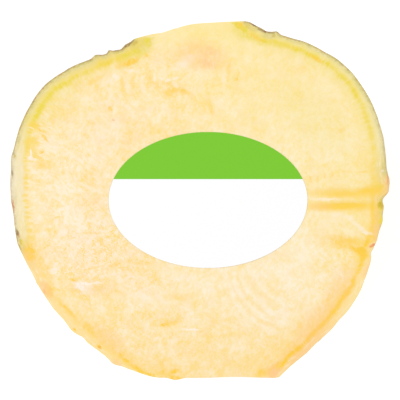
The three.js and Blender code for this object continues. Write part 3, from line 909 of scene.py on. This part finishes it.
# Colours as they show in the studio's light: the flesh and its knife ripples and fibres.
CREAM, YELLOW, BLUSH, PALE_STROKE = (255, 241, 211), (254, 221, 132), (255, 225, 184), (255, 241, 222)
LEMON, CROWN_YELLOW, ROOT_END_PEACH = (254, 236, 163), (253, 232, 150), (254, 220, 156)
RIPPLE_CREST, RIPPLE_TROUGH = (255, 242, 216), (254, 219, 142)
PALE_FIBRE, GOLDEN_FIBRE = (255, 241, 214), (253, 218, 118)
# The layers under the skin, and the ring.
CORTEX, GREEN_CORTEX, WARM_CORTEX = (254, 228, 152), (245, 231, 160), (253, 205, 132)
OLIVE_CORTEX, PALE_CORTEX, CORTEX_STREAK = (230, 207, 118), (243, 229, 192), (252, 240, 206)
GREY_GREEN, PALE_GREY_GREEN = (203, 193, 110), (220, 211, 186)
RING_GREEN, RING_GOLD, RING_WARM_GOLD = (239, 218, 76), (254, 210, 50), (254, 202, 52)
EDGE_OCHRE, EDGE_BROWN, EDGE_OLIVE = (202, 140, 98), (164, 124, 90), (162, 136, 82)
# The marks, in the order in which they are painted: two smooth kinds, then the ragged ones.
SMOOTH_KINDS = [(TRACE_MARKS, (254, 212, 82)), (YELLOW_MARKS, (251, 216, 92))]
RAGGED_KINDS = [
    (GREY_MARKS, (198, 190, 128)), (GREEN_MARKS, (236, 216, 74)), (GOLD_MARKS, (254, 207, 68)),
    (PINK_MARKS, (255, 205, 142)), (OLIVE_MARKS, (204, 172, 42)), (RED_MARKS, (236, 132, 80)),
    (BARK_MARKS, (134, 98, 60)), (PALE_MARKS, (255, 242, 226)),
]
# The skin, from the root end to the crown, and the corky lines, scars and specks on it.
BUFF, LIGHT_BUFF, DARK_BUFF = (228, 198, 138), (242, 220, 164), (212, 176, 114)
BRONZE, DARK_BRONZE, OLIVE, DARK_OLIVE = (190, 146, 96), (158, 118, 80), (132, 112, 66), (104, 90, 56)
PLUM, LIGHT_PLUM, DUSTY_PLUM = (98, 50, 66), (126, 80, 76), (156, 118, 98)
# The two crease colours are painted shade for the creases between the corky lines.
CORK, PURPLE_CORK, CREASE_PAINTED_SHADE, PURPLE_CREASE_PAINTED_SHADE = (176, 132, 84), (146, 108, 88), (190, 148, 92), (84, 50, 56)
# The lip colour is partly cork and partly a painted highlight; the groove colour is painted shade.
LEAF_SCAR, CORKY_LIP_AND_HIGHLIGHT, GROOVE_PAINTED_SHADE = (156, 134, 98), (180, 148, 112), (82, 56, 52)
ROOT_SCAR_RIM, ROOT_SCAR_PIT, SPECK = (186, 148, 102), (112, 80, 54), (96, 72, 52)
# Painted light: a paler band of skin just under the cut.
UNDER_CUT_PAINTED_LIGHT = (216, 198, 150)
# The sticker's two inks, and the shade of its paper's tooth.
WHITE_INK, GREEN_INK, PAPER_SHADE = (255, 255, 255), (121, 202, 30), (222, 222, 216)


def strands(paint, place):
    """Short fibres that lie at one angle in some patches and at another in the rest."""
    lean = paint.noise(place, 7, 1)
    steep = paint.times(paint.drawn_out(place, 66, 2, 1.15), paint.span(lean, 0.45, 0.55))
    level = paint.times(paint.drawn_out(place, 138, 2, 1.1), paint.span(lean, 0.55, 0.45))
    return paint.span(paint.plus(steep, level), 0.4, 0.6)


def mottled_flesh(paint, place):
    """The flesh's own colour: cream and yellow patches, worm-like fibres, and broad tints."""
    mottled = paint.attribute("mottled")
    clouds = paint.span(paint.noise(place, 12, 2), 0.3, 0.7, -0.15, 0.15)
    clouds = paint.plus(clouds, paint.span(paint.noise(place, 5.5, 2), 0.3, 0.7, -0.14, 0.14))
    clouds = paint.times(clouds, paint.maths("MULTIPLY_ADD", mottled, 0.8, 0.95))
    patches = paint.span(paint.noise(place, 2.6, 3, 0.6), 0.36, 0.64)
    fibres = paint.span(paint.noise(place, 1.1, 2, 0.65, swirl=0.9), 0.37, 0.63)
    contrast = paint.maths("MULTIPLY_ADD", mottled, 0.65, 0.6)
    share = paint.plus(
        paint.times(patches, 0.35), paint.times(fibres, 0.28), paint.times(strands(paint, place), 0.4),
        -0.515,
    )
    share = paint.plus(paint.times(share, contrast), clouds, paint.attribute("deep"))
    share = paint.maths("ADD", share, 0.46, clamp=True)
    colour = paint.mix(share, CREAM, YELLOW)

    blush = paint.span(paint.noise(place, 4.2, 3, 0.6), 0.5, 0.66, 0, 0.3)
    colour = paint.mix(blush, colour, BLUSH)
    strokes = paint.maths("ABSOLUTE", paint.plus(paint.noise(place, 2.1, 1, 0.5, swirl=1.6), -0.5))
    strokes = paint.times(paint.span(strokes, 0.06, 0.01), paint.maths("MULTIPLY_ADD", mottled, 0.65, 0.2))
    colour = paint.mix(strokes, colour, PALE_STROKE)

    x, y, _ = paint.parts(place)
    upper_right = paint.span(paint.plus(x, y), 0, 70, 0, 0.4)
    colour = paint.mix(upper_right, colour, LEMON)
    colour = paint.mix(paint.span(y, 48, 62, 0, 0.45), colour, CROWN_YELLOW)
    return paint.mix(paint.span(y, -25, -62, 0, 0.25), colour, ROOT_END_PEACH)


def ring_strength(paint, gap, travel):
    """The bright ring: an uneven line, and a soft glow on its inner side."""
    rays = paint.noise(paint.vector(travel, paint.times(gap, 0.25)), 1.1, 2, 0.6)
    uneven = paint.span(paint.noise(paint.vector(travel, 3.0), 4, 3, 0.6), 0.34, 0.62, 0.5, 1)
    line = paint.span(paint.maths("ABSOLUTE", gap), 1.5, 0.1)
    line = paint.times(line, paint.span(rays, 0.3, 0.6, 0.65, 1), uneven, 0.85)
    glow = paint.times(paint.span(gap, 4.4, 0), paint.span(gap, -0.6, 0.4))
    glow = paint.times(glow, paint.span(rays, 0.3, 0.65, 0.25, 0.48))
    return paint.plus(line, glow)


def under_skin(paint, colour, rim, travel):
    """The layers under the skin as the knife shows them: green-grey, pale, then the bright ring."""
    sway = paint.span(paint.noise(paint.vector(travel, 0.0), 7, 3), 0.25, 0.75, -0.45, 0.45)
    gap = paint.maths("SUBTRACT", paint.maths("SUBTRACT", rim, paint.attribute("ring_depth")), sway)
    gap = paint.maths("DIVIDE", gap, paint.attribute("ring_width"))
    edge_green = paint.attribute("edge_green")
    edge_warm, edge_pale = paint.attribute("edge_warm"), paint.attribute("edge_pale")

    cortex = paint.mix(edge_green, CORTEX, GREEN_CORTEX)
    warm = paint.mix(edge_green, WARM_CORTEX, OLIVE_CORTEX)
    cortex = paint.mix(edge_warm, cortex, warm)
    cortex = paint.mix(paint.times(edge_pale, 0.85), cortex, PALE_CORTEX)
    colour = paint.mix(paint.times(paint.span(gap, 0.4, -1), 0.8), colour, cortex)
    along = paint.noise(paint.vector(paint.times(travel, 0.3), paint.times(rim, 1.2)), 0.9, 3, 0.6)
    streaks = paint.times(paint.span(along, 0.5, 0.66), paint.span(gap, 0, -1), 0.5)
    colour = paint.mix(streaks, colour, CORTEX_STREAK)

    inward = paint.noise(paint.vector(paint.times(travel, 0.6), rim), 1.2, 3, 0.65)
    inward = paint.span(inward, 0.32, 0.64, 0.25, 0.95)
    skirt = paint.times(paint.span(rim, 2.3, 0.3), edge_green, inward, clamp=True)
    colour = paint.mix(skirt, colour, paint.mix(edge_pale, GREY_GREEN, PALE_GREY_GREEN))

    ring = ring_strength(paint, gap, travel)
    colour = paint.mix(paint.times(ring, paint.attribute("ring_green"), clamp=True), colour, RING_GREEN)
    gold = paint.mix(edge_warm, RING_GOLD, RING_WARM_GOLD)
    return paint.mix(paint.times(ring, paint.attribute("ring_gold"), clamp=True), colour, gold)


def cut_skin_edge(paint, colour, rim, travel):
    """The skin's thin cut edge, broken along its length, ochre, brown or olive."""
    broken = paint.span(paint.noise(paint.vector(travel, 0.0), 2.2, 3, 0.7), 0.34, 0.6, 0.25, 1)
    ragged = paint.plus(rim, paint.span(paint.noise(paint.vector(travel, rim), 0.7, 2), 0.3, 0.7, -0.2, 0.2))
    edge = paint.times(paint.span(ragged, 0.85, 0.2), paint.attribute("edge_dark"), broken)
    tone = paint.noise(paint.vector(travel, 9.0), 3, 2)
    colours = paint.mix(paint.span(tone, 0.4, 0.48), EDGE_OCHRE, EDGE_BROWN)
    colours = paint.mix(paint.span(tone, 0.52, 0.6), colours, EDGE_OLIVE)
    return paint.mix(edge, colour, colours)


def fibres_across(paint, colour, place, rim, travel):
    """Fibres that run in from the skin, pale, and golden towards the crown."""
    _, y, _ = paint.parts(place)
    strand = paint.noise(paint.vector(travel, paint.times(rim, 0.2)), 0.95, 2, 0.6)
    where = paint.times(paint.attribute("fibrous"), paint.span(rim, 3, 4.2))
    colour = paint.mix(paint.times(paint.span(strand, 0.48, 0.36), where, 0.6), colour, PALE_FIBRE)
    golden = paint.times(paint.span(strand, 0.5, 0.6), where, paint.span(y, 2, 14, 0.15, 0.75))
    return paint.mix(golden, colour, GOLDEN_FIBRE)


def painted_marks(paint, colour, place, kinds, grain=1):
    """Marks of several kinds over the colour, weakened by the grain and at most fully strong."""
    for table, tint in kinds:
        colour = paint.mix(paint.times(paint.marks(place, table), grain, clamp=True), colour, tint)
    return colour


def flesh_material():
    """Moist pale yellow flesh, with the ring under the skin and the marks of its growth."""
    paint = Painter("cut_flesh", 0.5, Specular_IOR_Level=0.35)
    place = paint.place()
    rim, travel = paint.attribute("rim"), paint.attribute("travel")
    colour = mottled_flesh(paint, place)

    wave = paint.attribute("ripple")
    colour = paint.mix(paint.span(wave, 0, 1, 0, 0.5), colour, RIPPLE_CREST)
    colour = paint.mix(paint.span(wave, 0, -1, 0, 0.42), colour, RIPPLE_TROUGH)

    colour = fibres_across(paint, colour, place, rim, travel)
    colour = under_skin(paint, colour, rim, travel)
    colour = painted_marks(paint, colour, paint.shaken(place, 5, 1.2), SMOOTH_KINDS)
    colour = cut_skin_edge(paint, colour, rim, travel)
    ragged = paint.shaken(paint.shaken(place, 1.8, 1.2), 0.6, 0.6)
    grain = paint.span(paint.noise(paint.stretched(place, (1, 0.7, 1)), 0.9, 3, 0.6), 0.3, 0.62, 0.5, 1.1)
    colour = painted_marks(paint, colour, ragged, RAGGED_KINDS, grain)

    wet = paint.span(paint.noise(place, 2.2, 3), 0.3, 0.7, 0.42, 0.6)
    normal = paint.bump(paint.noise(paint.stretched(place, (1, 1.7, 1)), 0.8, 4, 0.65), 0.12, 0.5)
    normal = paint.bump(paint.noise(place, 2.9, 2), 0.16, 0.35, below=normal)
    return paint.finish(colour, wet, normal)


def skin_ground(paint, place, down, around):
    """The skin's own colour, buff below and bronze and purple above, its purple and its grain."""
    x, y, _ = paint.parts(place)
    blotch = paint.noise(place, 15, 4, 0.62)
    streaks = paint.noise(paint.vector(paint.times(down, 0.3), paint.times(around, 1.1)), 6, 4, 0.62)
    fine = paint.noise(place, 1.5, 4, 0.68)
    height = paint.plus(
        y, paint.span(paint.noise(place, 26, 2), 0.25, 0.75, -13, 13),
        paint.span(streaks, 0.25, 0.75, -12, 12), paint.span(fine, 0.25, 0.75, -11, 11),
    )
    buff = paint.mix(paint.span(fine, 0.3, 0.7), BUFF, LIGHT_BUFF)
    buff = paint.mix(paint.span(blotch, 0.42, 0.7, 0, 0.55), buff, DARK_BUFF)
    bronze = paint.mix(paint.span(streaks, 0.35, 0.65), BRONZE, DARK_BRONZE)
    plum = paint.mix(paint.span(streaks, 0.35, 0.65), PLUM, LIGHT_PLUM)
    olive = paint.span(paint.plus(paint.span(blotch, 0.3, 0.7, -45, 45), x), -10, 70, 0, 0.65)
    plum = paint.mix(olive, plum, OLIVE)
    plum = paint.mix(paint.span(y, 34, 60, 0, 0.5), plum, DARK_OLIVE)
    plum = paint.mix(paint.span(fine, 0.5, 0.75, 0, 0.35), plum, DUSTY_PLUM)
    purple = paint.span(height, -4, 34)
    colour = paint.mix(paint.span(height, -46, 2, 0, 0.85), buff, bronze)
    return paint.mix(purple, colour, plum), purple, fine


def corky_lines(paint, colour, bands, cork, purple):
    """Corky cross lines and painted shade in the creases between them, greyer or darker on the purple part.
    """
    colour = paint.mix(cork, colour, paint.mix(purple, CORK, PURPLE_CORK))
    # Painted shade: the creases, the low parts of the bands, are painted darker.
    crease = paint.times(paint.span(bands, 0.42, 0.34), 0.45)
    return paint.mix(crease, colour, paint.mix(purple, CREASE_PAINTED_SHADE, PURPLE_CREASE_PAINTED_SHADE))


def skin_scars(paint, colour, fine):
    """Leaf scars with corky lips that carry a painted highlight, painted shade in the grooves below them, and
    the side roots' scars.
    """
    lip = paint.attribute("leaf_lip")
    scar_face = paint.times(paint.attribute("leaf_scar"), paint.span(fine, 0.3, 0.6, 0.1, 0.45))
    colour = paint.mix(scar_face, colour, LEAF_SCAR)
    # The raised lips are painted paler: partly their corky colour, partly a painted highlight.
    lip_cork_and_highlight = paint.times(paint.span(lip, 0.3, 0.8), paint.span(fine, 0.3, 0.6, 0.1, 0.6))
    colour = paint.mix(lip_cork_and_highlight, colour, CORKY_LIP_AND_HIGHLIGHT)
    # Painted shade: the groove below each lip is painted dark.
    colour = paint.mix(paint.span(lip, -0.02, -0.2, 0, 0.75), colour, GROOVE_PAINTED_SHADE)
    colour = paint.mix(paint.times(paint.attribute("scar_rim"), 0.5), colour, ROOT_SCAR_RIM)
    return paint.mix(paint.times(paint.attribute("scar_pit"), 0.8), colour, ROOT_SCAR_PIT)


def skin_material():
    """Thin skin: purple and bronze at the crown, buff yellow below, with corky lines and scars."""
    paint = Painter("root_skin", 0.6, Specular_IOR_Level=0.2)
    place = paint.place()
    down, around = paint.attribute("down"), paint.attribute("around")
    colour, purple, fine = skin_ground(paint, place, down, around)

    band_place = paint.vector(paint.times(down, 1.15), paint.times(around, 0.17))
    bands = paint.noise(band_place, 1.9, 3, 0.6)
    patchy = paint.span(paint.noise(place, 8, 2), 0.4, 0.62, 0.1, 0.7)
    cork = paint.times(paint.span(bands, 0.54, 0.7), patchy)
    colour = corky_lines(paint, colour, bands, cork, purple)
    colour = skin_scars(paint, colour, fine)
    specks = paint.span(paint.noise(place, 0.9, 2, 0.5), 0.66, 0.74, 0, 0.6)
    colour = paint.mix(specks, colour, SPECK)

    # Right under the cut the skin is painted paler: painted light that brightens its shaded band just below
    # the cut edge.
    _, _, z = paint.parts(place)
    under_cut_painted_light = paint.span(z, CUT_HEIGHT - 0.9, CUT_HEIGHT - 0.2, 0, 0.6)
    colour = paint.mix(under_cut_painted_light, colour, UNDER_CUT_PAINTED_LIGHT)

    rough = paint.span(paint.plus(cork, fine), 0.4, 1.2, 0.42, 0.76)
    normal = paint.bump(bands, 0.35, 0.6)
    normal = paint.bump(fine, 0.22, 0.6, below=normal)
    normal = paint.bump(paint.noise(place, 0.5, 3, 0.6), 0.08, 0.5, below=normal)
    return paint.finish(colour, rough, normal)


swede.data.materials.append(flesh_material())
swede.data.materials.append(skin_material())
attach(swede, "root")
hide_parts("swede_half")

# ---------------------------------------------------------------- the sticker

# Height over the label's centre of the line between green and white, and the sheet's thickness.
LABEL_LINE = 7.3
LABEL_SHEET = 0.1
LABEL_ROWS, LABEL_COLUMNS = 56, 72
# The sticker's material slots.
LABEL_WHITE, LABEL_GREEN = 0, 1
# Gap between the flesh and the sticker, and how far its edge stands off where it isn't stuck:
# the angle in the middle of each loose place, half its width in degrees, and its share of that.
LABEL_GAP = 0.05
LOOSE_EDGE = 0.12
LOOSE_PLACES = [(38, 16, 1), (-148, 20, 0.8), (-62, 14, 0.4)]


def label_points():
    """Rows of points across the oval. One row lies on the line between green and white."""
    line = math.asin(LABEL_LINE / LABEL_HALF[1])
    below = int(LABEL_ROWS * (line + math.pi / 2) / math.pi)
    rise = np.concatenate([
        np.linspace(-math.pi / 2, line, below + 1),
        np.linspace(line, math.pi / 2, LABEL_ROWS - below + 1)[1:],
    ])[1:-1]
    across = np.sin(np.linspace(-math.pi / 2, math.pi / 2, LABEL_COLUMNS + 1))
    x = LABEL_CENTRE[0] + LABEL_HALF[0] * np.outer(np.cos(rise), across)
    y = LABEL_CENTRE[1] + LABEL_HALF[1] * np.sin(rise)[:, None] + 0 * x
    return x, y, below - 1


def label_lift(x, y):
    """Height of the sticker over the flesh: pressed flat, with a few places not quite stuck."""
    across, up = (x - LABEL_CENTRE[0]) / LABEL_HALF[0], (y - LABEL_CENTRE[1]) / LABEL_HALF[1]
    edge = smooth_step(0.8, 1, np.hypot(across, up))
    angle = np.degrees(np.arctan2(up, across))
    loose = sum(share * swelling((angle - middle) / half) for middle, half, share in LOOSE_PLACES)
    return LABEL_GAP + LOOSE_EDGE * edge * loose


def label_sticker():
    """A thin closed sheet that follows the cut face."""
    x, y, line_row = label_points()
    bottom = CUT_HEIGHT + PRESSED_RELIEF * face_relief(np.stack([x, y], -1)) + label_lift(x, y)
    sheets = [np.stack([x, y, z], -1).reshape(-1, 3) for z in (bottom + LABEL_SHEET, bottom)]
    ids = np.arange(x.size).reshape(x.shape)
    top_quads = quads_between(ids[:-1], ids[1:], closed=False)
    bottom_quads = top_quads[:, ::-1] + x.size
    rim = np.concatenate([ids[:, -1], ids[::-1, 0]])
    rim_quads = quads_between(rim + x.size, rim, closed=True)
    polygons = top_quads.tolist() + bottom_quads.tolist() + rim_quads.tolist()
    piece = new_piece("label_sticker", np.concatenate(sheets), polygons)
    row_of_quad = np.repeat(np.arange(len(ids) - 1), LABEL_COLUMNS)
    inks = np.full(len(polygons), LABEL_WHITE, np.int32)
    inks[:len(top_quads)] = np.where(row_of_quad >= line_row, LABEL_GREEN, LABEL_WHITE)
    piece.data.polygons.foreach_set("material_index", inks)
    return piece


def label_material(name, colour):
    """Smooth coated paper with a faint tooth."""
    paint = Painter(name, 0.4, Specular_IOR_Level=0.25)
    place = paint.place()
    tooth = paint.noise(place, 0.35, 3, 0.6)
    shade = paint.mix(paint.span(tooth, 0.3, 0.7, 0, 0.03), colour, PAPER_SHADE)
    normal = paint.bump(tooth, 0.02, 0.3)
    normal = paint.bump(paint.noise(place, 9, 2), 0.25, 0.25, below=normal)
    return paint.finish(shade, paint.span(tooth, 0.2, 0.8, 0.36, 0.46), normal)


label = label_sticker()
label.data.materials.append(label_material("label_white", WHITE_INK))
label.data.materials.append(label_material("label_green", GREEN_INK))
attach(label, "root")
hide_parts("label")

# ---------------------------------------------------------------- floor, light and camera

# What the camera looks straight down on: the middle of its view at the cut face, and the width.
VIEW_CENTRE = (0.175, 0)
VIEW_WIDTH = 140
LENS, SENSOR = 200, 36
CAMERA_REACH = 20  # metres
FLOOR_HALF = 2000
FLOOR_COLOUR, FLOOR_GLOW = 0.7, 0.5
# Strength of the sky as light, and as it is seen past the floor's edge.
SKY_LIGHT, SKY_SEEN = 0.8, 1.1
# Soft lights: place and size in metres, and power in watts. They point at LIT_PLACE.
KEY_LIGHT = ((-0.9, 0.7, 1.6), 0.9, 13)
FILL_LIGHT = ((1.1, -0.9, 1.1), 1.0, 5)
LIT_PLACE = (0, 0, 0.03)


def floor():
    half = FLOOR_HALF
    corners = [(-half, -half, 0), (half, -half, 0), (half, half, 0), (-half, half, 0)]
    piece = new_piece("floor", corners, [(0, 1, 2, 3)])
    glow = {"Emission_Color": (1, 1, 1, 1), "Emission_Strength": FLOOR_GLOW}
    paint = Painter("pale_floor", 0.8, Specular_IOR_Level=0.1, **glow)
    piece.data.materials.append(paint.finish((FLOOR_COLOUR, FLOOR_COLOUR, FLOOR_COLOUR, 1)))


def soft_light(name, place, size, power):
    data = bpy.data.lights.new(name, "AREA")
    data.shape = "DISK"
    data.size = size
    data.energy = power
    light = placed(name, data)
    light.location = place
    light.rotation_euler = (Vector(LIT_PLACE) - Vector(place)).to_track_quat("-Z", "Y").to_euler()


def studio():
    scene = bpy.context.scene
    scene.world = bpy.data.worlds.new("studio")
    scene.world.use_nodes = True
    nodes, links = scene.world.node_tree.nodes, scene.world.node_tree.links
    # The sky lights the scene softly, and shows white behind the floor.
    seen = nodes.new("ShaderNodeLightPath").outputs["Is Camera Ray"]
    strength = nodes.new("ShaderNodeMapRange")
    strength.inputs["To Min"].default_value = SKY_LIGHT
    strength.inputs["To Max"].default_value = SKY_SEEN
    links.new(seen, strength.inputs["Value"])
    links.new(strength.outputs["Result"], nodes["Background"].inputs["Strength"])
    nodes["Background"].inputs["Color"].default_value = (1, 1, 1, 1)
    scene.view_settings.view_transform = "Standard"
    soft_light("key", *KEY_LIGHT)
    soft_light("fill", *FILL_LIGHT)


def camera():
    data = bpy.data.cameras.new("camera")
    data.lens = LENS
    data.sensor_width = SENSOR
    data.clip_end = CAMERA_REACH
    eye = placed("camera", data)
    distance = VIEW_WIDTH * LENS / SENSOR
    eye.location = (VIEW_CENTRE[0] * MM, VIEW_CENTRE[1] * MM, (CUT_HEIGHT + distance) * MM)
    eye.rotation_euler = (0, 0, 0)
    bpy.context.scene.camera = eye


floor()
studio()
camera()
